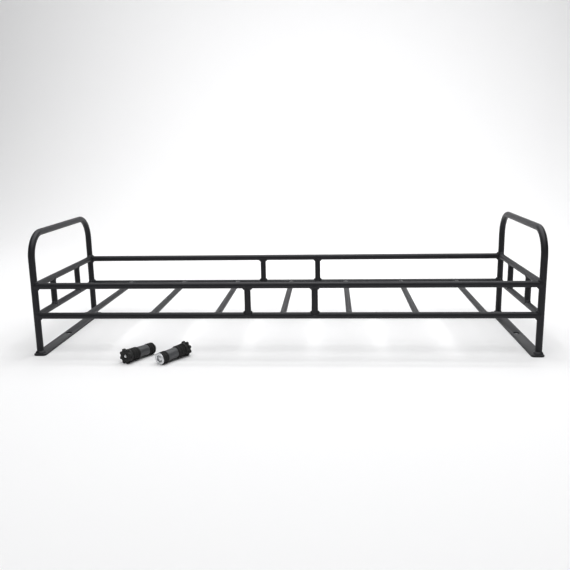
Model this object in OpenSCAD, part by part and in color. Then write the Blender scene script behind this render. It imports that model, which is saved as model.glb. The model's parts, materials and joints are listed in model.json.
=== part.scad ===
// Welded tubular cargo rack with two loose expansion anchors.
// +X runs along the rack, +Y to its rear and +Z up. The origin lies on the floor,
// midway between the anchor holes of the two foot bars.

/* [End hoops] */
// Distance between the middles of the two end hoops
hoop_spacing = 1488; // [1000:1:2000]
// Distance between the middles of a hoop's front and rear legs
hoop_depth = 480; // [360:1:800]
// Height of the middle of a hoop's top bar above the floor
hoop_top_z = 364; // [304:1:600]
// Outside diameter of the hoop tube
hoop_tube_d = 20; // [16:0.5:24]
// Wall thickness of the hoop tube
hoop_wall = 1.5; // [1:0.25:4]
// Radius of a hoop's two top bends, on the middle of the tube
hoop_bend_r = 75; // [40:1:80]

/* [Foot bars] */
// Width of a foot bar
foot_w = 38; // [36:1:60]
// Thickness of a foot bar
foot_t = 5; // [3:0.5:10]
// Length of a foot bar ahead of the middle of the front leg
foot_front_overhang = 26; // [12:1:60]
// Length of a foot bar behind the middle of the rear leg
foot_rear_overhang = 10; // [10:1:60]
// Radius of a foot bar's corners
foot_corner_r = 10; // [2:1:15]
// Distance of a foot bar's middle inwards from the middle of the legs
foot_inset = 7; // [0:1:8]
// Diameter of the anchor hole in a foot bar
foot_hole_d = 20; // [12:0.5:26]
// Distance of the anchor hole ahead of the point midway between the legs
foot_hole_ahead = 30; // [0:1:60]

/* [Rails] */
// Outside diameter of the long rails and the end rails
rail_tube_d = 19; // [14:0.5:24]
// Wall thickness of the rails
rail_wall = 1.5; // [1:0.25:3]
// Height of the middle of the lower rails above the floor
lower_rail_z = 119; // [60:0.5:150]
// Height of the middle of the upper rails above the floor
upper_rail_z = 210.5; // [180:0.5:220]

/* [Slats] */
// Number of cross slats in the deck
slat_count = 7; // [7:1:7]
// Distance between the middles of neighbouring slats
slat_pitch = 196.5; // [60:0.5:230]
// Outside diameter of a slat
slat_tube_d = 18; // [12:0.5:19]
// Wall thickness of a slat
slat_wall = 1.5; // [1:0.25:3]

/* [Posts] */
// Outside diameter of the posts
post_tube_d = 18.5; // [12:0.5:19]
// Wall thickness of the posts
post_wall = 1.5; // [1:0.25:3]
// Distance between the two posts of the front and of the rear
post_spacing = 197.5; // [60:0.5:400]
// Distance of each pair of posts sideways from the rack's middle
post_shift = -3.5; // [-50:0.5:50]
// Distance between the two posts of each end
end_post_spacing = 206; // [60:0.5:280]

/* [Anchor stack] */
// Diameter of the anchor's bolt
bolt_d = 10; // [8:0.5:12]
// Running clearance around the bolt inside the knob's nut, on the radius
thread_clearance = 0.05; // [0.01:0.01:0.1]
// Loose clearance around the bolt in the other pieces, on the radius
bolt_clearance = 0.5; // [0.3:0.1:1]
// Diameter of the bolt's round head
bolt_head_d = 17; // [15:0.5:19]
// Height of the bolt's round head
bolt_head_h = 4; // [3:0.5:5]
// Depth of the bolt's end below the top of the knob
bolt_end_depth = 0.5; // [0:0.5:8]
// Diameter of the end plate's rim
plate_d = 35; // [34:0.5:40]
// Thickness of the end plate's sheet
plate_t = 2; // [1:0.25:3]
// Inside diameter of the end plate's dish
dish_d = 21; // [20:0.5:24]
// Depth of the end plate's dish
dish_depth = 6; // [5.5:0.5:8]
// Gap between the end plate's dish and the rubber around it
dish_clearance = 0.3; // [0.2:0.1:1]
// Length of the lower rubber bush
lower_bush_l = 23; // [18:0.5:30]
// Length of the spacer sleeve
sleeve_l = 38; // [20:0.5:50]
// Outside diameter of the spacer sleeve
sleeve_d = 32.5; // [30:0.5:35]
// Wall thickness of the spacer sleeve
sleeve_wall = 2.5; // [1.5:0.25:4]
// Length of the upper rubber bush
upper_bush_l = 28; // [20:0.5:36]
// Diameter of the lower bush between its ribs
lower_bush_d = 33; // [30:0.5:33]
// Diameter of the upper bush between its ribs
upper_bush_d = 34.5; // [30:0.5:36]
// Height of the ribs above their bush
rib_h = 1; // [0.5:0.1:1.2]
// Width of one rib
rib_w = 4; // [2:0.5:4.5]
// Number of ribs on a bush
rib_count = 3; // [1:1:3]
// Diameter of the washer under the knob
washer_d = 30; // [24:0.5:34]
// Thickness of the washer
washer_t = 2; // [1:0.25:3]
// Running gap between the washer and the knob
washer_gap = 0.05; // [0.01:0.01:0.1]

/* [Knob] */
// Height of the knob
knob_h = 17.5; // [15:0.5:30]
// Diameter over the knob's lobes
knob_d = 45.5; // [42:0.5:60]
// Number of lobes
lobe_count = 8; // [6:1:10]
// Radius of one lobe
lobe_r = 4.5; // [3:0.25:5.5]
// Diameter of the knob's smooth skirt
skirt_d = 37; // [34:0.5:40]
// Height of the skirt below the lobes
skirt_h = 9; // [8.5:0.5:14]
// Width across the flats of the knob's nut
nut_flats = 17; // [15:0.5:19]
// Thickness of the knob's nut
nut_h = 8; // [5:0.5:10]
// Diameter of the open hole in the top of the knob
knob_hole_d = 14; // [13:0.5:16]

/* [Anchor places] */
// Place of the left anchor's end plate to the left of the rack's middle
left_anchor_x = 397; // [150:1:600]
// Distance of the left anchor's end plate ahead of the front legs
left_anchor_ahead = -2; // [-2:1:100]
// Direction of the left anchor's knob from its end plate, in degrees from +X
left_anchor_turn = 240; // [225:1:255]
// Place of the right anchor's end plate to the left of the rack's middle
right_anchor_x = 349; // [50:1:500]
// Distance of the right anchor's end plate ahead of the front legs
right_anchor_ahead = 103; // [90:1:200]
// Direction of the right anchor's knob from its end plate, in degrees from +X
right_anchor_turn = 57.3; // [40:1:75]

/* [Hidden] */
$fn = 64;
eps = 1;
side_x = hoop_spacing / 2;
mid_y = foot_hole_ahead;
front_y = mid_y - hoop_depth / 2;
rear_y = mid_y + hoop_depth / 2;
foot_x = side_x - foot_inset;
foot_l = hoop_depth + foot_front_overhang + foot_rear_overhang;
foot_mid_y = mid_y + (foot_rear_overhang - foot_front_overhang) / 2;
leg_top_z = hoop_top_z - hoop_bend_r;
first_slat_x = -slat_pitch * (slat_count - 1) / 2;
post_left_x = post_shift - post_spacing / 2;
post_right_x = post_shift + post_spacing / 2;
end_post_front_y = mid_y - end_post_spacing / 2;
end_post_rear_y = mid_y + end_post_spacing / 2;

// Heights along an anchor's own axis, from the face of its end plate
lower_bush_z = plate_t;
sleeve_z = lower_bush_z + lower_bush_l;
upper_bush_z = sleeve_z + sleeve_l;
washer_z = upper_bush_z + upper_bush_l;
knob_z = washer_z + washer_t + washer_gap;
lobe_z = knob_z + skirt_h;
knob_top_z = knob_z + knob_h;
dish_floor_z = dish_depth + plate_t;
bolt_end_z = knob_top_z - bolt_end_depth;
bolt_hole_d = bolt_d + 2 * bolt_clearance;
lobe_circle_r = knob_d / 2 - lobe_r;
// An anchor lies on its end plate and on two neighbouring lobes
lobe_reach = lobe_circle_r * cos(180 / lobe_count) + lobe_r;
anchor_tilt = atan((lobe_reach - plate_d / 2) / lobe_z);

steel_black = "#26272a";
rubber_black = "#1b1b1c";
plastic_black = "#232325";
sleeve_grey = "#5a5c5e";
zinc = "#cfd2d4";

// ---------- tube work ----------

// A straight tube standing on its end
module tube(d, wall, length) {
    difference() {
        cylinder(d = d, h = length);
        translate([0, 0, -eps]) cylinder(d = d - 2 * wall, h = length + 2 * eps);
    }
}

// Puts a standing piece on its side, pointing along +X or +Y
module along_x() { rotate([0, 90, 0]) children(); }
module along_y() { rotate([-90, 0, 0]) children(); }

// The solid outline of a leg, which the rails are cut to fit
module leg_outline(x, y) {
    translate([x, y, foot_t]) cylinder(d = hoop_tube_d, h = leg_top_z - foot_t);
}

// The solid outline of a long rail
module long_rail_outline(y, z) {
    translate([-side_x, y, z]) along_x() cylinder(d = rail_tube_d, h = hoop_spacing);
}

// The solid outline of an end rail
module end_rail_outline(x, z) {
    translate([x, front_y, z]) along_y() cylinder(d = rail_tube_d, h = hoop_depth);
}

// ---------- rack ----------

// The round bar that follows a hoop's middle line: two legs, two bends and a top
module hoop_bar(d) {
    top_half = hoop_depth / 2 - hoop_bend_r;
    for (s = [-1, 1]) {
        translate([0, s * hoop_depth / 2, foot_t]) cylinder(d = d, h = leg_top_z - foot_t);
        translate([0, s * top_half, leg_top_z]) rotate([90, 0, s * 90])
            rotate_extrude(angle = 90) translate([hoop_bend_r, 0]) circle(d = d);
    }
    translate([0, -top_half, hoop_top_z]) along_y() cylinder(d = d, h = 2 * top_half);
}

module hoop(x) {
    color(steel_black) translate([x, mid_y, 0]) difference() {
        hoop_bar(hoop_tube_d);
        hoop_bar(hoop_tube_d - 2 * hoop_wall);
        // opens the tube's ends, which stand on the foot bar
        for (s = [-1, 1]) translate([0, s * hoop_depth / 2, foot_t - eps])
            cylinder(d = hoop_tube_d - 2 * hoop_wall, h = 2 * eps);
    }
}

module foot_bar(x) {
    inner_w = foot_w - 2 * foot_corner_r;
    inner_l = foot_l - 2 * foot_corner_r;
    color(steel_black) difference() {
        translate([x, foot_mid_y, 0]) linear_extrude(foot_t) {
            square([foot_w, inner_l], center = true);
            square([inner_w, foot_l], center = true);
            for (sx = [-1, 1], sy = [-1, 1])
                translate([sx * inner_w / 2, sy * inner_l / 2]) circle(foot_corner_r);
        }
        translate([x, 0, -eps]) cylinder(d = foot_hole_d, h = foot_t + 2 * eps);
    }
}

// A rail along X, cut to the round of the legs at both ends
module long_rail(y, z) {
    color(steel_black) difference() {
        translate([-side_x, y, z]) along_x() tube(rail_tube_d, rail_wall, hoop_spacing);
        for (s = [-1, 1]) leg_outline(s * side_x, y);
    }
}

// A rail along Y, cut to the legs and to the long rails beside it
module end_rail(x, z) {
    color(steel_black) difference() {
        translate([x, front_y, z]) along_y() tube(rail_tube_d, rail_wall, hoop_depth);
        for (y = [front_y, rear_y]) {
            leg_outline(x, y);
            long_rail_outline(y, z);
        }
    }
}

// A deck slat from the front lower rail to the rear lower rail
module slat(number) {
    color(steel_black) difference() {
        translate([first_slat_x + (number - 1) * slat_pitch, front_y, lower_rail_z])
            along_y() tube(slat_tube_d, slat_wall, hoop_depth);
        for (y = [front_y, rear_y]) long_rail_outline(y, lower_rail_z);
    }
}

// A post from the lower to the upper rail of the front or the rear
module post(x, y) {
    color(steel_black) difference() {
        translate([x, y, lower_rail_z]) tube(post_tube_d, post_wall, upper_rail_z - lower_rail_z);
        for (z = [lower_rail_z, upper_rail_z]) long_rail_outline(y, z);
    }
}

// A post from the lower to the upper end rail
module end_post(x, y) {
    color(steel_black) difference() {
        translate([x, y, lower_rail_z]) tube(post_tube_d, post_wall, upper_rail_z - lower_rail_z);
        for (z = [lower_rail_z, upper_rail_z]) end_rail_outline(x, z);
    }
}

// ---------- anchors ----------

// Lays an anchor, built upright on its end plate, on the floor in front of the rack
module lay_anchor(x, ahead, turn) {
    translate([-x, front_y - ahead, plate_d / 2 * cos(anchor_tilt)])
        rotate([0, 0, turn]) rotate([0, 90 - anchor_tilt, 0]) children();
}

module left_anchor() { lay_anchor(left_anchor_x, left_anchor_ahead, left_anchor_turn) children(); }
module right_anchor() { lay_anchor(right_anchor_x, right_anchor_ahead, right_anchor_turn) children(); }

// Round head in the dish, and a shank that stands for the threaded rod
module bolt() {
    head_z = dish_floor_z - plate_t - bolt_head_h;
    color(zinc) {
        translate([0, 0, head_z]) cylinder(d1 = bolt_head_d - 3, d2 = bolt_head_d, h = bolt_head_h / 2);
        translate([0, 0, head_z + bolt_head_h / 2]) cylinder(d = bolt_head_d, h = bolt_head_h / 2);
        translate([0, 0, head_z + bolt_head_h - 0.1])
            cylinder(d = bolt_d, h = bolt_end_z - head_z - bolt_head_h + 0.1);
    }
}

// Dished sheet: flat rim, round wall and a floor that the bolt's head sits on
module end_plate() {
    color(zinc) difference() {
        union() {
            cylinder(d = plate_d, h = plate_t);
            cylinder(d = dish_d + 2 * plate_t, h = dish_floor_z);
        }
        translate([0, 0, -eps]) cylinder(d = dish_d, h = dish_depth + eps);
        cylinder(d = bolt_hole_d, h = dish_floor_z + eps);
    }
}

// Rubber bush with round ribs, evenly spread over its length
module bush(d, length) {
    gap = (length - rib_count * rib_w) / (rib_count + 1);
    cylinder(d = d, h = length);
    for (i = [0 : rib_count - 1])
        translate([0, 0, gap + i * (rib_w + gap)]) cylinder(d = d + 2 * rib_h, h = rib_w);
}

module lower_bush() {
    color(rubber_black) difference() {
        translate([0, 0, lower_bush_z]) bush(lower_bush_d, lower_bush_l);
        cylinder(d = bolt_hole_d, h = sleeve_z + eps);
        cylinder(d = dish_d + 2 * (plate_t + dish_clearance), h = dish_floor_z + dish_clearance);
    }
}

module sleeve() {
    color(sleeve_grey) translate([0, 0, sleeve_z]) tube(sleeve_d, sleeve_wall, sleeve_l);
}

module upper_bush() {
    color(rubber_black) difference() {
        translate([0, 0, upper_bush_z]) bush(upper_bush_d, upper_bush_l);
        translate([0, 0, upper_bush_z - eps]) cylinder(d = bolt_hole_d, h = upper_bush_l + 2 * eps);
    }
}

module washer() {
    color(zinc) translate([0, 0, washer_z]) tube(washer_d, (washer_d - bolt_hole_d) / 2, washer_t);
}

// Hexagon nut moulded into the foot of the knob
module nut() {
    color(zinc) difference() {
        translate([0, 0, knob_z]) nut_outline(nut_h);
        translate([0, 0, knob_z - eps]) cylinder(d = bolt_d + 2 * thread_clearance, h = nut_h + 2 * eps);
    }
}

module nut_outline(length) { cylinder(d = nut_flats / cos(30), h = length, $fn = 6); }

// Star knob: a smooth skirt under a ring of lobes, with valleys turned to the floor
module knob() {
    color(plastic_black) difference() {
        union() {
            translate([0, 0, knob_z]) cylinder(d = skirt_d, h = skirt_h);
            translate([0, 0, lobe_z]) linear_extrude(knob_h - skirt_h) {
                circle(lobe_circle_r);
                for (i = [0 : lobe_count - 1])
                    rotate((i + 0.5) * 360 / lobe_count) translate([lobe_circle_r, 0]) circle(lobe_r);
            }
        }
        translate([0, 0, knob_z - eps]) nut_outline(nut_h + eps);
        translate([0, 0, knob_z]) cylinder(d = knob_hole_d, h = knob_h + eps);
    }
}

// ---------- assembly ----------

hoop(-side_x);  // hoop_left
hoop(side_x);  // hoop_right
foot_bar(-foot_x);  // foot_bar_left
foot_bar(foot_x);  // foot_bar_right

long_rail(front_y, lower_rail_z);  // front_lower_rail
long_rail(front_y, upper_rail_z);  // front_upper_rail
long_rail(rear_y, lower_rail_z);  // rear_lower_rail
long_rail(rear_y, upper_rail_z);  // rear_upper_rail

end_rail(-side_x, lower_rail_z);  // left_lower_end_rail
end_rail(-side_x, upper_rail_z);  // left_upper_end_rail
end_rail(side_x, lower_rail_z);  // right_lower_end_rail
end_rail(side_x, upper_rail_z);  // right_upper_end_rail

for (n = [1 : slat_count])
    slat(n);

post(post_left_x, front_y);  // front_post_left
post(post_right_x, front_y);  // front_post_right
post(post_left_x, rear_y);  // rear_post_left
post(post_right_x, rear_y);  // rear_post_right

end_post(-side_x, end_post_front_y);  // left_end_post_front
end_post(-side_x, end_post_rear_y);  // left_end_post_rear
end_post(side_x, end_post_front_y);  // right_end_post_front
end_post(side_x, end_post_rear_y);  // right_end_post_rear

left_anchor() bolt();  // anchor_left_bolt
left_anchor() end_plate();  // anchor_left_end_plate
left_anchor() lower_bush();  // anchor_left_lower_bush
left_anchor() sleeve();  // anchor_left_sleeve
left_anchor() upper_bush();  // anchor_left_upper_bush
left_anchor() washer();  // anchor_left_washer
left_anchor() nut();  // anchor_left_nut
left_anchor() knob();  // anchor_left_knob

right_anchor() bolt();  // anchor_right_bolt
right_anchor() end_plate();  // anchor_right_end_plate
right_anchor() lower_bush();  // anchor_right_lower_bush
right_anchor() sleeve();  // anchor_right_sleeve
right_anchor() upper_bush();  // anchor_right_upper_bush
right_anchor() washer();  // anchor_right_washer
right_anchor() nut();  // anchor_right_nut
right_anchor() knob();  // anchor_right_knob
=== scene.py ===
import json
import math

import bmesh
import bpy
from bpy.props import FloatProperty, FloatVectorProperty, IntProperty, PointerProperty
from mathutils import Matrix, Vector, noise


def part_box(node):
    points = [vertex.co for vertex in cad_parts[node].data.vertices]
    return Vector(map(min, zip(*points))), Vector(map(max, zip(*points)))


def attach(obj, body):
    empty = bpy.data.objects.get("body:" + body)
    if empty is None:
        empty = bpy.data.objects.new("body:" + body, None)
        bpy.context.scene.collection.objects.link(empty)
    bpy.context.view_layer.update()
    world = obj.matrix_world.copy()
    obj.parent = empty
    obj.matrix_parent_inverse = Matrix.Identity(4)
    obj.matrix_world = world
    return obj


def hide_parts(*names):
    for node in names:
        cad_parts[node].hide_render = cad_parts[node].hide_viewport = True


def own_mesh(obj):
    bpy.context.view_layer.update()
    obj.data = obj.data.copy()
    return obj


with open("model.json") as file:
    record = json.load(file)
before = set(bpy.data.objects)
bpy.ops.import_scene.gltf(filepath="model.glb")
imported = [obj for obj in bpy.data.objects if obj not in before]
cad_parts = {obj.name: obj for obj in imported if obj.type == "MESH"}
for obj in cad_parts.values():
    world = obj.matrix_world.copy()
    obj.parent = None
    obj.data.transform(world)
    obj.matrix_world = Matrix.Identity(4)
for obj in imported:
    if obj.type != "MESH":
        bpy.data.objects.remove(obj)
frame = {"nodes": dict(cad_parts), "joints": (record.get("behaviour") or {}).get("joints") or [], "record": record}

bl_info = {
    "name": "Cargo Rack",
    "version": (1, 0, 0),
    "blender": (4, 5, 0),
    "location": "View3D > Sidebar > Cargo Rack",
    "description": "Welded tube rack for a cargo bed, with two rubber expansion anchors",
    "category": "Object",
}

SIDES = ("left", "right")
X, Y, Z = Vector((1, 0, 0)), Vector((0, 1, 0)), Vector((0, 0, 1))

# Sizes in metres that no setting changes
WELD_SUNK = 0.00015  # how far a bead's edges lie inside the metal
WELD_ROOT = 0.0008  # how far a bead's closed back lies inside the metal
WELD_RIPPLE_HEIGHT = 0.0002
WELD_CROWN_BULGE = 0.0003
WELD_FLANK_BULGE = 0.00125
EDGE_GAP = 0.0002  # between a leg's bead and the edge of its foot bar
BORE_CLEARANCE = 0.0005  # between the bolt and what it passes through
DISH_CLEARANCE = 0.0003  # between the end plate's dish and the rubber round it
PLATE_SHEET = 0.002
SLEEVE_WALL = 0.0025
KNOB_SOFT = 0.0009  # rounding of the knob's edges
KNOB_GROOVE = (0.0132, 0.0126, 0.0112, 0.0106)  # radii of the groove in the knob's face
KNOB_GROOVE_DEPTH = 0.0008
THREADED_LENGTH = 0.012  # of the bolt, below the washer
THREAD_SUNK = 0.0002  # how far the thread's ridge lies inside the bolt

# The straight tubes by the way they run, with a tube that each one is welded to at both ends
RAILS = [f"{side}_{level}_rail" for side in ("front", "rear") for level in ("lower", "upper")]
END_RAILS = [f"{side}_{level}_end_rail" for side in SIDES for level in ("lower", "upper")]
SLATS = sorted(node for node in frame["nodes"] if node.startswith("slat_"))
POSTS = [f"{row}_post_{side}" for row in ("front", "rear") for side in SIDES]
END_POSTS = [f"{side}_end_post_{row}" for side in SIDES for row in ("front", "rear")]
TUBE_WORK = (
    # nodes, way they run, tube at their ends, way that tube runs
    (RAILS, X, "hoop_left", Z),
    (END_RAILS, Y, "hoop_left", Z),
    (SLATS, Y, "front_lower_rail", X),
    (POSTS, Z, "front_lower_rail", X),
    (END_POSTS, Z, "left_lower_end_rail", Y),
)


# ---------- what the frame says ----------


def corners(node):
    """Lowest and highest corner of a node, as vectors."""
    low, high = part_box(node)
    return Vector(low), Vector(high)


def tube_radius(node):
    """Radius of a tube, which is half of its box's shortest side."""
    low, high = corners(node)
    return min(high - low) / 2


def joint(name):
    """The record's joint of that name."""
    return next(j for j in frame["joints"] if j["name"] == name)


class AnchorAxis:
    """One anchor's own axis, which starts at its end plate and points at its knob."""

    def __init__(self, side):
        self.name = f"anchor_{side}"
        turn = joint(f"{self.name}_knob_turn")
        self.way = -Vector(turn["axis"]).normalized()
        self.start = Vector(turn["pos_m"])
        self.start += self.way * self.span("end_plate")[0]

    def span(self, piece):
        """Where a node starts and ends along the axis, and its largest radius."""
        mesh = frame["nodes"][f"{self.name}_{piece}"].data
        offsets = [v.co - self.start for v in mesh.vertices]
        along = [offset.dot(self.way) for offset in offsets]
        across = [(offset - self.way * a).length for offset, a in zip(offsets, along)]
        return min(along), max(along), max(across)

    def matrix(self):
        """Stands for the axis as Z, with X turned to the floor."""
        down = (-Z + self.way * self.way.z).normalized()
        side = self.way.cross(down)
        placed = Matrix((down, side, self.way)).transposed().to_4x4()
        placed.translation = self.start
        return placed


# ---------- settings ----------


class StageSettings(bpy.types.PropertyGroup):
    """Floor, lights and camera"""
    floor_colour: FloatVectorProperty(
        name="Floor colour", description="Colour of the floor and the wall behind",
        subtype="COLOR", size=3, default=(0.86, 0.86, 0.865), min=0, max=1)
    room_light: FloatProperty(
        name="Room light", description="Strength of the even light from all around",
        default=0.12, min=0)
    top_power: FloatProperty(
        name="Top light", description="Power of the soft box overhead",
        default=128, min=0, unit="POWER")
    front_power: FloatProperty(
        name="Front light", description="Power of the soft box beside the camera",
        default=2, min=0, unit="POWER")
    wall_power: FloatProperty(
        name="Wall light", description="Power of the soft box that lights the wall behind",
        default=60, min=0, unit="POWER")
    focal_length: FloatProperty(
        name="Focal length", description="Focal length in millimetres on a 36 mm wide sensor",
        default=42.43, min=10, unit="CAMERA")


class SteelSettings(bpy.types.PropertyGroup):
    """Powder-coated tubes, bars and welds"""
    coat_colour: FloatVectorProperty(
        name="Coat colour", description="Colour of the powder coat",
        subtype="COLOR", size=3, default=(0.0046, 0.0042, 0.0030), min=0, max=1)
    coat_roughness: FloatProperty(
        name="Coat roughness", description="Middle roughness of the powder coat",
        default=0.46, min=0, max=1)
    tube_sides: IntProperty(
        name="Tube sides", description="Number of flat sides round a tube",
        default=48, min=16, max=128)
    tube_wall: FloatProperty(
        name="Tube wall", description="Wall of every tube",
        default=0.0015, min=0.0005, unit="LENGTH")
    bend_radius: FloatProperty(
        name="Bend radius", description="Radius of a hoop's bends, on the middle of the tube",
        default=0.075, min=0.02, unit="LENGTH")
    bend_steps: IntProperty(
        name="Bend steps", description="Number of steps round one bend", default=28, min=6)
    weld_leg: FloatProperty(
        name="Weld leg", description="How far a weld reaches along each tube",
        default=0.0058, min=0.001, unit="LENGTH")
    weld_ripple: FloatProperty(
        name="Weld ripple", description="Distance between the ripples of a weld",
        default=0.0026, min=0.001, unit="LENGTH")
    bar_corner: FloatProperty(
        name="Bar corner", description="Radius of a foot bar's corners",
        default=0.010, min=0.001, unit="LENGTH")
    bar_edge: FloatProperty(
        name="Bar edge", description="Rounding of a foot bar's edges",
        default=0.0008, min=0.0001, unit="LENGTH")


class AnchorSettings(bpy.types.PropertyGroup):
    """Rubber expansion anchors"""
    rubber_colour: FloatVectorProperty(
        name="Rubber colour", description="Colour of the two bushes",
        subtype="COLOR", size=3, default=(0.006, 0.006, 0.006), min=0, max=1)
    plastic_colour: FloatVectorProperty(
        name="Plastic colour", description="Colour of the knob",
        subtype="COLOR", size=3, default=(0.010, 0.0098, 0.0092), min=0, max=1)
    sleeve_colour: FloatVectorProperty(
        name="Sleeve colour", description="Middle colour of the mottled sleeve",
        subtype="COLOR", size=3, default=(0.045, 0.046, 0.045), min=0, max=1)
    zinc_colour: FloatVectorProperty(
        name="Zinc colour", description="Colour of the bright plated metal",
        subtype="COLOR", size=3, default=(0.90, 0.90, 0.89), min=0, max=1)
    lathe_sides: IntProperty(
        name="Round sides", description="Number of flat sides round a turned piece",
        default=96, min=24, max=256)
    lobe_count: IntProperty(
        name="Lobes", description="Number of lobes on the knob", default=8, min=3, max=12)
    lobe_radius: FloatProperty(
        name="Lobe radius", description="Radius of one lobe",
        default=0.0045, min=0.001, unit="LENGTH")
    skirt_height: FloatProperty(
        name="Skirt height", description="Height of the knob's smooth skirt",
        default=0.009, min=0.001, unit="LENGTH")
    skirt_radius: FloatProperty(
        name="Skirt radius", description="Radius of the knob's smooth skirt",
        default=0.0185, min=0.005, unit="LENGTH")
    hole_radius: FloatProperty(
        name="Hole radius", description="Radius of the hole in the top of the knob",
        default=0.007, min=0.001, unit="LENGTH")
    rib_count: IntProperty(
        name="Ribs", description="Number of ribs on a bush", default=3, min=1, max=6)
    rib_height: FloatProperty(
        name="Rib height", description="How far the ribs stand above a bush",
        default=0.0011, min=0.0001, unit="LENGTH")
    bolt_radius: FloatProperty(
        name="Bolt radius", description="Radius of the bolt over its thread",
        default=0.005, min=0.001, unit="LENGTH")
    thread_pitch: FloatProperty(
        name="Thread pitch", description="Distance between the threads of the bolt",
        default=0.0015, min=0.0005, unit="LENGTH")


# ---------- materials ----------


def group_socket(group, name, way, kind, value=None):
    """Adds a named socket to a node group."""
    socket = group.interface.new_socket(name=name, in_out=way, socket_type=kind)
    if value is not None:
        socket.default_value = value
    return socket


def new_group(name, inputs, outputs):
    """An empty shader group with its sockets and its two end nodes."""
    group = bpy.data.node_groups.new(name, "ShaderNodeTree")
    for socket_name, kind, value in inputs:
        group_socket(group, socket_name, "INPUT", kind, value)
    for socket_name, kind in outputs:
        group_socket(group, socket_name, "OUTPUT", kind)
    start = group.nodes.new("NodeGroupInput")
    end = group.nodes.new("NodeGroupOutput")
    return group, start, end


def noise_node(group, start, scale_name, detail, roughness=0.5):
    """A noise texture on Object coordinates, at the scale of a group input."""
    place = group.nodes.new("ShaderNodeTexCoord")
    texture = group.nodes.new("ShaderNodeTexNoise")
    texture.inputs["Detail"].default_value = detail
    texture.inputs["Roughness"].default_value = roughness
    group.links.new(place.outputs["Object"], texture.inputs["Vector"])
    group.links.new(start.outputs[scale_name], texture.inputs["Scale"])
    return texture


def spread(group, source, low, high, start=None, names=None):
    """Maps a value from 0.3-0.7, where most noise lies, to low-high."""
    node = group.nodes.new("ShaderNodeMapRange")
    node.inputs["From Min"].default_value = 0.3
    node.inputs["From Max"].default_value = 0.7
    node.inputs["To Min"].default_value = low
    node.inputs["To Max"].default_value = high
    if names:
        group.links.new(start.outputs[names[0]], node.inputs["To Min"])
        group.links.new(start.outputs[names[1]], node.inputs["To Max"])
    group.links.new(source, node.inputs["Value"])
    return node.outputs["Result"]


def mottle_group():
    """Colour and roughness that drift between two values in soft patches."""
    group, start, end = new_group(
        "Mottle",
        (("Dark", "NodeSocketColor", (0, 0, 0, 1)), ("Light", "NodeSocketColor", (1, 1, 1, 1)),
         ("Scale", "NodeSocketFloat", 60.0), ("Smooth", "NodeSocketFloat", 0.4),
         ("Rough", "NodeSocketFloat", 0.6)),
        (("Colour", "NodeSocketColor"), ("Roughness", "NodeSocketFloat")))
    texture = noise_node(group, start, "Scale", detail=5, roughness=0.6)
    mask = spread(group, texture.outputs["Fac"], 0, 1)
    mix = group.nodes.new("ShaderNodeMix")
    mix.data_type = "RGBA"
    group.links.new(mask, mix.inputs["Factor"])
    # mix.inputs holds one A and one B for each type, so the colour ones are found by type
    for socket in mix.inputs:
        if socket.type == "RGBA":
            name = "Dark" if socket.name == "A" else "Light"
            group.links.new(start.outputs[name], socket)
    result = next(s for s in mix.outputs if s.type == "RGBA")
    rough = spread(group, texture.outputs["Fac"], 0, 1, start, ("Smooth", "Rough"))
    group.links.new(result, end.inputs["Colour"])
    group.links.new(rough, end.inputs["Roughness"])


def grain_group():
    """Height of a fine pebbled skin over a slower swell, such as powder coat or rubber has."""
    group, start, end = new_group(
        "Grain",
        (("Grain scale", "NodeSocketFloat", 1500.0), ("Swell scale", "NodeSocketFloat", 180.0),
         ("Swell share", "NodeSocketFloat", 0.4)),
        (("Height", "NodeSocketFloat"),))
    fine = noise_node(group, start, "Grain scale", detail=3)
    slow = noise_node(group, start, "Swell scale", detail=2)
    mix = group.nodes.new("ShaderNodeMix")
    mix.data_type = "FLOAT"
    group.links.new(start.outputs["Swell share"], mix.inputs[0])
    group.links.new(fine.outputs["Fac"], mix.inputs[2])
    group.links.new(slow.outputs["Fac"], mix.inputs[3])
    group.links.new(mix.outputs[0], end.inputs["Height"])


def shaded(colour, factor):
    """A colour made lighter or darker, with full alpha."""
    return tuple(min(1, c * factor) for c in colour) + (1,)


def finish_material(name, colour, patches, rough, grain, bump, metallic=0.0, specular=0.5,
                    contrast=0.2):
    """Makes a finish with drifting colour and roughness and a fine skin.

    patches is the scale of the patches, rough their smoothest and roughest value, grain the
    scales of the skin and its swell with the swell's share, bump the skin's strength and depth
    in metres, and contrast how far the patches stray from the colour.
    """
    material = bpy.data.materials.new(name)
    material.use_nodes = True
    tree = material.node_tree
    surface = tree.nodes["Principled BSDF"]
    surface.inputs["Metallic"].default_value = metallic
    surface.inputs["Specular IOR Level"].default_value = specular
    mottle = tree.nodes.new("ShaderNodeGroup")
    mottle.node_tree = bpy.data.node_groups["Mottle"]
    mottle.inputs["Dark"].default_value = shaded(colour, 1 - contrast)
    mottle.inputs["Light"].default_value = shaded(colour, 1 + contrast)
    mottle.inputs["Scale"].default_value = patches
    mottle.inputs["Smooth"].default_value = rough[0]
    mottle.inputs["Rough"].default_value = rough[1]
    skin = tree.nodes.new("ShaderNodeGroup")
    skin.node_tree = bpy.data.node_groups["Grain"]
    for socket, value in zip(("Grain scale", "Swell scale", "Swell share"), grain):
        skin.inputs[socket].default_value = value
    raised = tree.nodes.new("ShaderNodeBump")
    raised.inputs["Strength"].default_value = bump[0]
    raised.inputs["Distance"].default_value = bump[1]
    tree.links.new(skin.outputs["Height"], raised.inputs["Height"])
    tree.links.new(mottle.outputs["Colour"], surface.inputs["Base Color"])
    tree.links.new(mottle.outputs["Roughness"], surface.inputs["Roughness"])
    tree.links.new(raised.outputs["Normal"], surface.inputs["Normal"])


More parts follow.
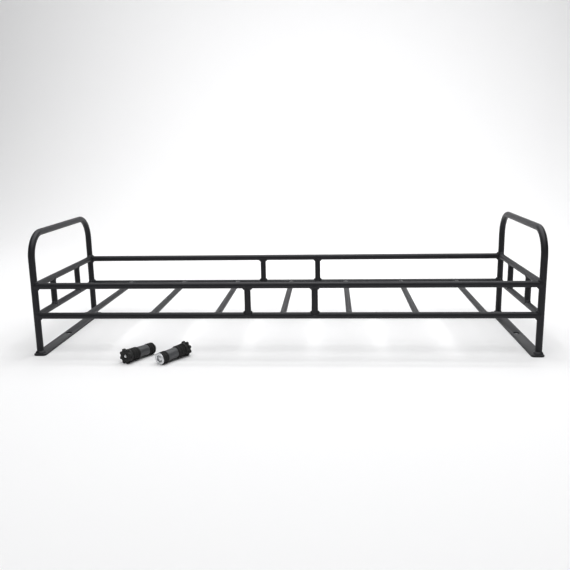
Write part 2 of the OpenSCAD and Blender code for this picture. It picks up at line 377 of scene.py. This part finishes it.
def build_materials(steel, anchor):
    """Every finish of the object, each named as its slot in the record is."""
    mottle_group()
    grain_group()
    rough = steel.coat_roughness
    finish_material("black_powder_coat", steel.coat_colour, 35, (rough - 0.05, rough + 0.06),
                    (1100, 160, 0.35), (0.3, 0.0003), specular=0.05, contrast=0.12)
    finish_material("black_rubber", anchor.rubber_colour, 90, (0.62, 0.8),
                    (1800, 220, 0.3), (0.3, 0.0003), specular=0.2, contrast=0.2)
    finish_material("black_plastic", anchor.plastic_colour, 120, (0.42, 0.56),
                    (2400, 260, 0.25), (0.35, 0.0003), specular=0.3, contrast=0.15)
    finish_material("grey_tube", anchor.sleeve_colour, 170, (0.38, 0.62),
                    (900, 240, 0.5), (0.3, 0.0004), metallic=0.2, contrast=0.8)
    finish_material("zinc_plate", anchor.zinc_colour, 140, (0.16, 0.3),
                    (1400, 200, 0.5), (0.12, 0.0002), metallic=1.0, contrast=0.06)


# ---------- mesh work ----------


def ring_out(mesh, edges):
    """Extrudes a ring of edges and returns the new ring's vertices and edges."""
    made = bmesh.ops.extrude_edge_only(mesh, edges=edges)["geom"]
    verts = [g for g in made if isinstance(g, bmesh.types.BMVert)]
    fresh = set(verts)
    ring = {e for v in verts for e in v.link_edges if fresh.issuperset(e.verts)}
    return verts, sorted(ring, key=lambda e: e.index)


def lathe(points, sides, rounding=None, closed=True):
    """Spins an outline of (radius, height) points round Z.

    rounding is {point number: how far a round corner reaches along its two edges}.
    """
    mesh = bmesh.new()
    verts = [mesh.verts.new((radius, 0, height)) for radius, height in points]
    pairs = list(zip(verts, verts[1:]))
    if closed:
        pairs.append((verts[-1], verts[0]))
    for pair in pairs:
        mesh.edges.new(pair)
    for number, reach in (rounding or {}).items():
        bmesh.ops.bevel(mesh, geom=[verts[number]], offset=reach, segments=5, profile=0.5,
                        affect="VERTICES", material=-1)
    bmesh.ops.spin(mesh, geom=mesh.verts[:] + mesh.edges[:], cent=(0, 0, 0), axis=(0, 0, 1),
                   angle=2 * math.pi, steps=sides, use_merge=True)
    bmesh.ops.remove_doubles(mesh, verts=mesh.verts, dist=1e-6)
    return mesh


def make_piece(name, mesh, slot, body, nodes=(), matrix=None, sharp_above=38):
    """Turns a bmesh into a piece in its place, with its finish and its body."""
    if matrix:
        mesh.transform(matrix)
    bmesh.ops.recalc_face_normals(mesh, faces=mesh.faces)
    for face in mesh.faces:
        face.smooth = True
    limit = math.radians(sharp_above)
    for edge in mesh.edges:
        edge.smooth = len(edge.link_faces) != 2 or edge.calc_face_angle() < limit
    data = bpy.data.meshes.new(name)
    mesh.to_mesh(data)
    mesh.free()
    piece = bpy.data.objects.new(name, data)
    bpy.context.scene.collection.objects.link(piece)
    data.materials.append(bpy.data.materials[slot])
    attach(piece, body)
    if nodes:
        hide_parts(*nodes)
    return piece


def end_matrix(origin, along, run_way):
    """Stands at a crossing of two tubes: Z runs into the branch and Y along the other tube."""
    across = run_way.cross(along)
    placed = Matrix((across, run_way, along)).transposed().to_4x4()
    placed.translation = origin
    return placed


def crossings(node, way, run_node):
    """The two points where a straight tube's middle line meets those of the tubes at its ends."""
    low, high = corners(node)
    middle = (low + high) / 2
    radius, run_radius = tube_radius(node), tube_radius(run_node)
    # a tube cut to the round of another reaches furthest at its sides
    reach = (high - low).dot(way) / 2 + math.sqrt(run_radius ** 2 - radius ** 2)
    return middle - way * reach, middle + way * reach


def coped_tube(node, way, run_node, run_way, steel):
    """A hollow tube, cut at both ends to the round of the tube that it meets."""
    start, end = crossings(node, way, run_node)
    length = (end - start).length
    radius, run_radius = tube_radius(node), tube_radius(run_node)
    inner = radius - steel.tube_wall
    outline = [(radius, 0), (radius, length), (inner, length), (inner, 0)]
    mesh = lathe(outline, steel.tube_sides)
    for vert in mesh.verts:
        surface = math.sqrt(run_radius ** 2 - vert.co.x ** 2)
        vert.co.z = surface if vert.co.z < length / 2 else length - surface
    make_piece(f"{node}_tube", mesh, "black_powder_coat", "root", [node],
               end_matrix(start, way, run_way))


def bead(mesh, steel, radius, run_radius, matrix, reach_limit=None):
    """Lays a weld round a branch tube of that radius, on a tube of run_radius or on a flat bar.

    The bead is a ring of seven-point sections. Its first six points run in a shallow arc from
    the branch down to the other tube, and the last lies inside the metal.
    """
    points = 7
    before = set(mesh.verts)
    section = [mesh.verts.new((1, 0, number)) for number in range(points)]
    edges = [mesh.edges.new(pair) for pair in zip(section, section[1:] + section[:1])]
    steps = 96
    bmesh.ops.spin(mesh, geom=section + edges, cent=(0, 0, 0), axis=(0, 0, 1),
                   angle=2 * math.pi, steps=steps, use_merge=True)
    ripples = round(2 * math.pi * (radius + steel.weld_leg / 2) / steel.weld_ripple)
    for vert in [v for v in mesh.verts if v not in before]:
        turn = math.atan2(vert.co.y, vert.co.x)
        number = round(vert.co.z)
        cos, sin = math.cos(turn), math.sin(turn)
        uneven = noise.noise(matrix.translation * 37 + Vector((cos, sin, 0)) * 2.3)
        leg = steel.weld_leg * (1 + 0.16 * uneven)
        if run_radius:
            lean = math.asin(min(1, radius * sin / run_radius))
            height = math.sqrt(max(0, run_radius ** 2 - (radius * sin) ** 2))
            leg *= 1 - 0.2 * abs(sin)
            toe_lean = lean + leg / run_radius * sin
            # the toe reaches along the run only as far as it doesn't lean round it
            toe = Vector(((run_radius - WELD_SUNK) * math.sin(toe_lean),
                          (radius + leg * abs(cos)) * cos,
                          (run_radius - WELD_SUNK) * math.cos(toe_lean)))
            run_normal = Vector((math.sin(lean), 0, math.cos(lean)))
            crown = abs(cos)
        else:
            height = 0
            toe = Vector(((radius + leg) * sin, (radius + leg) * cos, -WELD_SUNK))
            if reach_limit is not None:
                toe.y = min(reach_limit, toe.y)
            run_normal = Z
            crown = 1
        root = Vector((radius * sin, radius * cos, height))
        branch_normal = Vector((sin, cos, 0))
        top = Vector(((radius - WELD_SUNK) * sin, (radius - WELD_SUNK) * cos, height + leg))
        out = (branch_normal + run_normal).normalized()
        if number == points - 1:
            vert.co = root - out * WELD_ROOT
            continue
        share = number / (points - 2)
        swell = math.sin(math.pi * share)
        ripple = 1 + 0.35 * math.cos(turn * ripples + 1.6 * swell)
        bulge = WELD_CROWN_BULGE * crown + WELD_FLANK_BULGE * (1 - crown)
        vert.co = top.lerp(toe, share) + out * (bulge + WELD_RIPPLE_HEIGHT * ripple) * swell
    new = [v for v in mesh.verts if v not in before]
    bmesh.ops.transform(mesh, matrix=matrix, verts=new)


def hoop(side, steel):
    """One bent tube: leg, bend, top, bend and leg, with closed ends on the foot bar."""
    node = f"hoop_{side}"
    low, high = corners(node)
    radius = tube_radius(node)
    middle_x = (low.x + high.x) / 2
    front, rear, top = low.y + radius, high.y - radius, high.z - radius
    bend = steel.bend_radius
    mesh = bmesh.new()
    place = Matrix.Translation((middle_x, front, low.z))
    bmesh.ops.create_circle(mesh, segments=steel.tube_sides, radius=radius, matrix=place)
    edges = mesh.edges[:]
    bmesh.ops.holes_fill(mesh, edges=edges)

    def straight(edges, move):
        verts, edges = ring_out(mesh, edges)
        bmesh.ops.translate(mesh, verts=verts, vec=move)
        return edges

    def quarter(edges, centre):
        verts = list({v for e in edges for v in e.verts})
        made = bmesh.ops.spin(mesh, geom=verts + edges, cent=centre, axis=(1, 0, 0),
                              angle=-math.pi / 2, steps=steel.bend_steps)["geom_last"]
        return [g for g in made if isinstance(g, bmesh.types.BMEdge)]

    rise = top - bend - low.z
    edges = straight(edges, (0, 0, rise))
    edges = quarter(edges, (middle_x, front + bend, top - bend))
    edges = straight(edges, (0, rear - front - 2 * bend, 0))
    edges = quarter(edges, (middle_x, rear - bend, top - bend))
    edges = straight(edges, (0, 0, -rise))
    bmesh.ops.holes_fill(mesh, edges=edges)
    make_piece(f"{node}_tube", mesh, "black_powder_coat", "root", [node])


def foot_bar(side, steel):
    """Flat bar with round corners, soft edges and the anchor's hole."""
    node = f"foot_bar_{side}"
    low, high = corners(node)
    middle_x = (low.x + high.x) / 2
    bolt_hole = next(m for m in frame["record"]["mounts"] if m["name"] == "foot_holes")
    hole_radius = bolt_hole["dims"]["hole_r_mm"] / 1000
    mesh = bmesh.new()
    outline = [mesh.verts.new((x, y, low.z)) for x, y in
               ((low.x, low.y), (high.x, low.y), (high.x, high.y), (low.x, high.y))]
    for pair in zip(outline, outline[1:] + outline[:1]):
        mesh.edges.new(pair)
    bmesh.ops.bevel(mesh, geom=outline, offset=steel.bar_corner, segments=10, profile=0.5,
                    affect="VERTICES", material=-1)
    place = Matrix.Translation((middle_x, bolt_hole["pos_m"][1], low.z))
    bmesh.ops.create_circle(mesh, segments=48, radius=hole_radius, matrix=place)
    bmesh.ops.triangle_fill(mesh, use_beauty=True, edges=mesh.edges)
    made = bmesh.ops.extrude_face_region(mesh, geom=mesh.faces[:])["geom"]
    lifted = [g for g in made if isinstance(g, bmesh.types.BMVert)]
    bmesh.ops.translate(mesh, verts=lifted, vec=(0, 0, high.z - low.z))
    bmesh.ops.recalc_face_normals(mesh, faces=mesh.faces)
    rims = [e for e in mesh.edges
            if len(e.link_faces) == 2 and e.calc_face_angle() > math.radians(60)]
    bmesh.ops.bevel(mesh, geom=rims, offset=steel.bar_edge, segments=3, profile=0.5,
                    affect="EDGES", material=-1)
    make_piece(f"{node}_plate", mesh, "black_powder_coat", "root", [node])


def branch_welds(node, way, run_node, run_way, steel):
    """The two welds at the ends of a straight tube."""
    mesh = bmesh.new()
    start, end = crossings(node, way, run_node)
    radius, run_radius = tube_radius(node), tube_radius(run_node)
    bead(mesh, steel, radius, run_radius, end_matrix(start, way, run_way))
    bead(mesh, steel, radius, run_radius, end_matrix(end, -way, run_way))
    make_piece(f"{node}_welds", mesh, "black_powder_coat", "root", sharp_above=80)


def leg_welds(side, steel):
    """The welds of one hoop's two legs on their foot bar."""
    low, high = corners(f"hoop_{side}")
    bar_low, bar_high = corners(f"foot_bar_{side}")
    radius = tube_radius(f"hoop_{side}")
    middle_x = (low.x + high.x) / 2
    outer_edge = min(bar_high.x - middle_x, middle_x - bar_low.x)
    outwards = -X if side == "left" else X
    mesh = bmesh.new()
    for y in (low.y + radius, high.y - radius):
        # the bead's own Y points at the bar's outer edge, which limits its reach
        place = Matrix((Z.cross(outwards) * -1, outwards, Z)).transposed().to_4x4()
        place.translation = (middle_x, y, low.z)
        bead(mesh, steel, radius, None, place, reach_limit=outer_edge - EDGE_GAP)
    # the bar ends flush with the back of the rear leg, and so does that leg's bead
    for vert in mesh.verts:
        vert.co.y = min(vert.co.y, bar_high.y - EDGE_GAP)
    make_piece(f"hoop_{side}_welds", mesh, "black_powder_coat", "root", sharp_above=80)


# ---------- anchors ----------


def lobed_radius(turn, reach, lobe_radius, count):
    """Radius of the knob's outline: a round core with a ring of round lobes on its edge."""
    core = reach - lobe_radius
    step = 2 * math.pi / count
    # X points at the floor, and the lobes stand half a step off it, so the knob lies on two
    off = (turn % step) - step / 2
    side = core * math.sin(off)
    if abs(side) >= lobe_radius:
        return core
    return max(core, core * math.cos(off) + math.sqrt(lobe_radius ** 2 - side ** 2))


def knob(side, anchor):
    """Star knob: bore, skirt and lobed head in one run of rings."""
    axis = AnchorAxis(side)
    foot, top, reach = axis.span("knob")
    nut_top, nut_radius = axis.span("nut")[1:]
    neck = foot + anchor.skirt_height
    mesh = bmesh.new()
    sides = anchor.lobe_count * 24
    soft = KNOB_SOFT
    groove = KNOB_GROOVE
    groove_floor = top - KNOB_GROOVE_DEPTH
    # each ring is (height, round radius) or (height, inset of the lobed outline, None)
    rings = [
        (foot, nut_radius + 0.0001), (foot, anchor.skirt_radius - soft),
        (foot + 0.3 * soft, anchor.skirt_radius - 0.3 * soft),
        (foot + soft, anchor.skirt_radius), (neck - soft, anchor.skirt_radius),
        (neck - 0.3 * soft, anchor.skirt_radius - 0.3 * soft),
        (neck, anchor.skirt_radius - soft),
        (neck, soft, None), (neck + 0.3 * soft, 0.3 * soft, None), (neck + soft, 0, None),
        (top - 1.6 * soft, 0, None), (top - 0.9 * soft, 0.2 * soft, None),
        (top - 0.3 * soft, 0.8 * soft, None), (top, 1.8 * soft, None),
        (top, groove[0]), (groove_floor, groove[1]), (groove_floor, groove[2]), (top, groove[3]),
        (top, anchor.hole_radius + 0.0006), (top - 0.0006, anchor.hole_radius),
        (nut_top, anchor.hole_radius), (nut_top, nut_radius + 0.0001),
    ]
    bmesh.ops.create_circle(mesh, segments=sides, radius=1)
    first = mesh.verts[:]
    edges = mesh.edges[:]
    for number, ring in enumerate(rings):
        verts = first
        if number:
            verts, edges = ring_out(mesh, edges)
        for vert in verts:
            turn = math.atan2(vert.co.y, vert.co.x)
            radius = ring[1]
            if len(ring) == 3:
                lobed = lobed_radius(turn, reach, anchor.lobe_radius, anchor.lobe_count)
                radius = lobed - ring[1]
            vert.co = (radius * math.cos(turn), radius * math.sin(turn), ring[0])
    start_ring = [e for e in mesh.edges if len(e.link_faces) == 1]
    bmesh.ops.bridge_loops(mesh, edges=start_ring)
    make_piece(f"{axis.name}_star_knob", mesh, "black_plastic", f"{axis.name}_knob",
               [f"{axis.name}_knob"], axis.matrix(), sharp_above=50)


def bush_outline(start, end, reach, anchor, hollow, hollow_end, bore):
    """Outline of a rubber bush with round ribs, as (radius, height) points and roundings."""
    body = reach - anchor.rib_height
    room = (end - start) / anchor.rib_count
    half_rib = room * 0.30
    points = [(hollow, start), (body, start)]
    rounding = {1: 0.0008}
    for number in range(anchor.rib_count):
        middle = start + (number + 0.5) * room
        for radius, height in ((body, middle - half_rib), (reach, middle - half_rib * 0.55),
                               (reach, middle + half_rib * 0.55), (body, middle + half_rib)):
            rounding[len(points)] = 0.0005
            points.append((radius, height))
    rounding[len(points)] = 0.0008
    points += [(body, end), (bore, end)]
    if hollow > bore:
        points += [(bore, hollow_end), (hollow, hollow_end)]
    return points, rounding


def bushes(side, anchor):
    """The two rubber bushes, which shorten as the knob is turned."""
    axis = AnchorAxis(side)
    travel = joint(f"{axis.name}_rod_slide")["range_m"][1]
    bore = anchor.bolt_radius + BORE_CLEARANCE
    dish_end = axis.span("end_plate")[1]
    dish = dish_radius(axis) + DISH_CLEARANCE
    for place, fixed_end, slide in (("lower", 1, "rod_slide"), ("upper", 0, "washer_slide")):
        node = f"{axis.name}_{place}_bush"
        span = axis.span(f"{place}_bush")
        start, end, reach = span
        keep = (end - start - travel) / (end - start)
        hollow = dish if place == "lower" else bore
        # the roof of the hollow stays clear of the dish when the bush is at its shortest
        roof = end - (end - dish_end - travel) / keep + DISH_CLEARANCE
        points, rounding = bush_outline(start, end, reach, anchor, hollow, roof, bore)
        mesh = lathe(points, anchor.lathe_sides, rounding)
        piece = make_piece(f"{node}_rubber", mesh, "black_rubber", axis.name, [node],
                           axis.matrix())
        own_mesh(piece)


def dish_radius(axis):
    """Outer radius of the end plate's dish, which is its radius near the dish's floor."""
    mesh = frame["nodes"][f"{axis.name}_end_plate"].data
    floor = axis.span("end_plate")[1]
    widest = 0
    for vert in mesh.vertices:
        offset = vert.co - axis.start
        along = offset.dot(axis.way)
        if along > floor - 0.001:
            widest = max(widest, (offset - axis.way * along).length)
    return widest


def sleeve(side, anchor):
    """Steel spacer between the bushes, with broken edges."""
    axis = AnchorAxis(side)
    start, end, reach = axis.span("sleeve")
    inner = reach - SLEEVE_WALL
    outline = [(inner, start), (reach, start), (reach, end), (inner, end)]
    mesh = lathe(outline, anchor.lathe_sides, {0: 0.0003, 1: 0.0005, 2: 0.0005, 3: 0.0003})
    make_piece(f"{axis.name}_spacer_sleeve", mesh, "grey_tube", axis.name,
               [f"{axis.name}_sleeve"], axis.matrix())


def metalwork(side, anchor):
    """End plate, bolt with its thread, washer and nut."""
    axis = AnchorAxis(side)
    rod = f"{axis.name}_rod"
    bore = anchor.bolt_radius + BORE_CLEARANCE
    start, end, reach = axis.span("end_plate")
    outer = dish_radius(axis)
    sheet = PLATE_SHEET
    inner = outer - sheet
    plate = [(inner, start), (reach, start), (reach, start + sheet), (outer, start + sheet),
             (outer, end), (bore, end), (bore, end - sheet), (inner, end - sheet)]
    rounding = {0: 0.0012, 1: 0.0009, 2: 0.0006, 4: 0.0012, 7: 0.0008}
    make_piece(f"{axis.name}_dished_plate", lathe(plate, anchor.lathe_sides, rounding),
               "zinc_plate", rod, [f"{axis.name}_end_plate"], axis.matrix())

    head, tip, head_reach = axis.span("bolt")
    shank = anchor.bolt_radius
    root = shank - 0.6 * anchor.thread_pitch
    thread_start = axis.span("washer")[0] - THREADED_LENGTH
    seat = end - sheet
    bolt = [(0, head), (head_reach * 0.55, head + 0.0003), (head_reach * 0.86, head + 0.0013),
            (head_reach, seat - 0.0006), (head_reach, seat), (shank, seat), (shank, thread_start),
            (root, thread_start + 0.0006), (root, tip - 0.0005), (root - 0.0008, tip), (0, tip)]
    mesh = lathe(bolt, anchor.lathe_sides, {1: 0.0012, 2: 0.0009}, closed=False)
    screw_thread(mesh, root, shank, thread_start + 0.0012, tip - 0.0012, anchor)
    make_piece(f"{axis.name}_headed_bolt", mesh, "zinc_plate", rod, [f"{axis.name}_bolt"],
               axis.matrix())

    start, end, reach = axis.span("washer")
    ring = [(bore, start), (reach, start), (reach, end), (bore, end)]
    mesh = lathe(ring, anchor.lathe_sides, {1: 0.0004, 2: 0.0004})
    make_piece(f"{axis.name}_flat_washer", mesh, "black_plastic", f"{axis.name}_washer",
               [f"{axis.name}_washer"], axis.matrix())
    frame["nodes"][f"{axis.name}_nut"].data.materials.clear()
    frame["nodes"][f"{axis.name}_nut"].data.materials.append(bpy.data.materials["zinc_plate"])


def screw_thread(mesh, root, crest, start, end, anchor):
    """A ridge that winds up the bolt as a helix, sunk a little into its core."""
    pitch = anchor.thread_pitch
    turns = (end - start) / pitch
    foot = root - THREAD_SUNK
    ridge = [(foot, -0.45 * pitch), (crest, -0.08 * pitch), (crest, 0.08 * pitch),
             (foot, 0.45 * pitch)]
    verts = [mesh.verts.new((radius, 0, start + height)) for radius, height in ridge]
    edges = [mesh.edges.new(pair) for pair in zip(verts, verts[1:] + verts[:1])]
    mesh.faces.new(verts)
    steps = int(turns * 32)
    made = bmesh.ops.spin(mesh, geom=verts + edges, cent=(0, 0, 0), axis=(0, 0, 1),
                          dvec=(0, 0, (end - start) / steps), angle=2 * math.pi * turns,
                          steps=steps)["geom_last"]
    last = [g for g in made if isinstance(g, bmesh.types.BMEdge)]
    bmesh.ops.holes_fill(mesh, edges=last)


# ---------- operators ----------


class RACK_OT_materials(bpy.types.Operator):
    """Make the finishes of the rack and of its anchors"""
    bl_idname = "rack.materials"
    bl_label = "Make finishes"

    def execute(self, context):
        build_materials(context.scene.rack_steel, context.scene.rack_anchor)
        return {"FINISHED"}


class RACK_OT_hoops(bpy.types.Operator):
    """Bend the two end hoops"""
    bl_idname = "rack.hoops"
    bl_label = "Bend hoops"

    def execute(self, context):
        for side in SIDES:
            hoop(side, context.scene.rack_steel)
        return {"FINISHED"}


class RACK_OT_foot_bars(bpy.types.Operator):
    """Cut the two foot bars and drill their holes"""
    bl_idname = "rack.foot_bars"
    bl_label = "Cut foot bars"

    def execute(self, context):
        for side in SIDES:
            foot_bar(side, context.scene.rack_steel)
        return {"FINISHED"}


class RACK_OT_tubes(bpy.types.Operator):
    """Cut the rails, slats and posts to fit the tubes that they meet"""
    bl_idname = "rack.tubes"
    bl_label = "Cut rails, slats and posts"

    def execute(self, context):
        for nodes, way, run_node, run_way in TUBE_WORK:
            for node in nodes:
                coped_tube(node, way, run_node, run_way, context.scene.rack_steel)
        return {"FINISHED"}


class RACK_OT_welds(bpy.types.Operator):
    """Weld every tube's ends"""
    bl_idname = "rack.welds"
    bl_label = "Weld the rack"

    def execute(self, context):
        for nodes, way, run_node, run_way in TUBE_WORK:
            for node in nodes:
                branch_welds(node, way, run_node, run_way, context.scene.rack_steel)
        for side in SIDES:
            leg_welds(side, context.scene.rack_steel)
        return {"FINISHED"}


class RACK_OT_knobs(bpy.types.Operator):
    """Mould the anchors' star knobs"""
    bl_idname = "rack.knobs"
    bl_label = "Mould knobs"

    def execute(self, context):
        for side in SIDES:
            knob(side, context.scene.rack_anchor)
        return {"FINISHED"}


class RACK_OT_bushes(bpy.types.Operator):
    """Mould the anchors' rubber bushes"""
    bl_idname = "rack.bushes"
    bl_label = "Mould bushes"

    def execute(self, context):
        for side in SIDES:
            bushes(side, context.scene.rack_anchor)
        return {"FINISHED"}


class RACK_OT_metalwork(bpy.types.Operator):
    """Turn the anchors' sleeves, end plates, bolts and washers"""
    bl_idname = "rack.metalwork"
    bl_label = "Turn metalwork"

    def execute(self, context):
        for side in SIDES:
            sleeve(side, context.scene.rack_anchor)
            metalwork(side, context.scene.rack_anchor)
        return {"FINISHED"}


class RACK_OT_stage(bpy.types.Operator):
    """Set up the floor, the lights and the camera"""
    bl_idname = "rack.stage"
    bl_label = "Set the stage"

    def execute(self, context):
        stage = context.scene.rack_stage
        sweep(stage)
        lights(context.scene, stage)
        camera(context.scene, stage)
        return {"FINISHED"}


# ---------- stage ----------


def sweep(stage):
    """Pale floor that curves up into a wall behind the rack."""
    front, rear, height, half_width = -7, 4.2, 6, 10
    mesh = bmesh.new()
    profile = ((front, 0), (rear, 0), (rear, height))
    verts = [mesh.verts.new((-half_width, y, z)) for y, z in profile]
    edges = [mesh.edges.new(pair) for pair in zip(verts, verts[1:])]
    made = bmesh.ops.extrude_edge_only(mesh, edges=edges)["geom"]
    moved = [g for g in made if isinstance(g, bmesh.types.BMVert)]
    bmesh.ops.translate(mesh, verts=moved, vec=(2 * half_width, 0, 0))
    fold = [e for e in mesh.edges if len(e.link_faces) == 2]
    bmesh.ops.bevel(mesh, geom=fold, offset=2.4, segments=32, profile=0.5, affect="EDGES",
                    material=-1)
    for face in mesh.faces:
        face.smooth = True
        if face.normal.z < -0.01 or face.normal.y > 0.01:
            face.normal_flip()
    data = bpy.data.meshes.new("studio_sweep")
    mesh.to_mesh(data)
    mesh.free()
    floor = bpy.data.objects.new("studio_sweep", data)
    bpy.context.scene.collection.objects.link(floor)
    material = bpy.data.materials.new("studio_paper")
    material.use_nodes = True
    surface = material.node_tree.nodes["Principled BSDF"]
    surface.inputs["Base Color"].default_value = tuple(stage.floor_colour) + (1,)
    surface.inputs["Roughness"].default_value = 0.85
    surface.inputs["Specular IOR Level"].default_value = 0.2
    data.materials.append(material)


def soft_box(scene, name, place, aim, size, power):
    """A rectangular light at place that shines at aim."""
    lamp = bpy.data.lights.new(name, "AREA")
    lamp.shape = "RECTANGLE"
    lamp.size, lamp.size_y = size
    lamp.energy = power
    light = bpy.data.objects.new(name, lamp)
    light.location = place
    light.rotation_euler = (Vector(aim) - Vector(place)).to_track_quat("-Z", "Y").to_euler()
    scene.collection.objects.link(light)


def lights(scene, stage):
    """Even room light, soft boxes overhead and by the camera, and one for the wall behind."""
    world = bpy.data.worlds.new("studio_room")
    world.use_nodes = True
    background = world.node_tree.nodes["Background"]
    background.inputs["Color"].default_value = (1, 1, 1, 1)
    background.inputs["Strength"].default_value = stage.room_light
    scene.world = world
    # name, place, what it shines at, size, power
    boxes = (
        ("top_soft_box", (0.2, 0.1, 3.0), (0, 0.1, 0), (5.0, 4.0), stage.top_power),
        ("front_soft_box", (-1.2, -2.6, 1.7), (0, 0, 0.2), (1.6, 1.2), stage.front_power),
        ("wall_soft_box", (0, 1.4, 3.4), (0, 4.2, 1.2), (7.0, 1.0), stage.wall_power),
    )
    for box in boxes:
        soft_box(scene, *box)
    scene.view_settings.view_transform = "Standard"
    scene.view_settings.look = "Medium High Contrast"


def camera(scene, stage):
    """The camera, in front of the rack and a little above it."""
    place = Vector((0.1419, -2.1234, 0.6201))
    look_left, look_down, roll = 0.06937, 0.21032, -0.01882
    data = bpy.data.cameras.new("camera")
    data.sensor_width = 36
    data.lens = stage.focal_length
    data.clip_start, data.clip_end = 0.05, 60
    lens = bpy.data.objects.new("camera", data)
    turned = (Matrix.Rotation(look_left, 4, "Z") @ Matrix.Rotation(math.pi / 2 - look_down, 4, "X")
              @ Matrix.Rotation(roll, 4, "Z"))
    lens.matrix_world = Matrix.Translation(place) @ turned
    scene.collection.objects.link(lens)
    scene.camera = lens


# ---------- add-on ----------


class RACK_PT_parts(bpy.types.Panel):
    """Shows the rack's buttons and settings in the sidebar"""
    bl_label = "Cargo Rack"
    bl_space_type = "VIEW_3D"
    bl_region_type = "UI"
    bl_category = "Cargo Rack"

    def draw(self, context):
        for operator in OPERATORS:
            self.layout.operator(operator.bl_idname)
        for settings_name in SETTINGS:
            settings = getattr(context.scene, settings_name)
            box = self.layout.box()
            for name in settings.__annotations__:
                box.prop(settings, name)


OPERATORS = (RACK_OT_materials, RACK_OT_hoops, RACK_OT_foot_bars, RACK_OT_tubes, RACK_OT_welds,
             RACK_OT_knobs, RACK_OT_bushes, RACK_OT_metalwork, RACK_OT_stage)
SETTINGS = {"rack_steel": SteelSettings, "rack_anchor": AnchorSettings,
            "rack_stage": StageSettings}


def register():
    for group in SETTINGS.values():
        bpy.utils.register_class(group)
    for operator in OPERATORS:
        bpy.utils.register_class(operator)
    bpy.utils.register_class(RACK_PT_parts)
    for name, group in SETTINGS.items():
        setattr(bpy.types.Scene, name, PointerProperty(type=group))


def unregister():
    for name in SETTINGS:
        delattr(bpy.types.Scene, name)
    bpy.utils.unregister_class(RACK_PT_parts)
    for operator in reversed(OPERATORS):
        bpy.utils.unregister_class(operator)
    for group in reversed(SETTINGS.values()):
        bpy.utils.unregister_class(group)


def main():
    """Builds the whole scene."""
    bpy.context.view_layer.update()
    register()
    bpy.ops.rack.materials()
    bpy.ops.rack.hoops()
    bpy.ops.rack.foot_bars()
    bpy.ops.rack.tubes()
    bpy.ops.rack.welds()
    bpy.ops.rack.knobs()
    bpy.ops.rack.bushes()
    bpy.ops.rack.metalwork()
    bpy.ops.rack.stage()


if __name__ == "__main__":
    main()
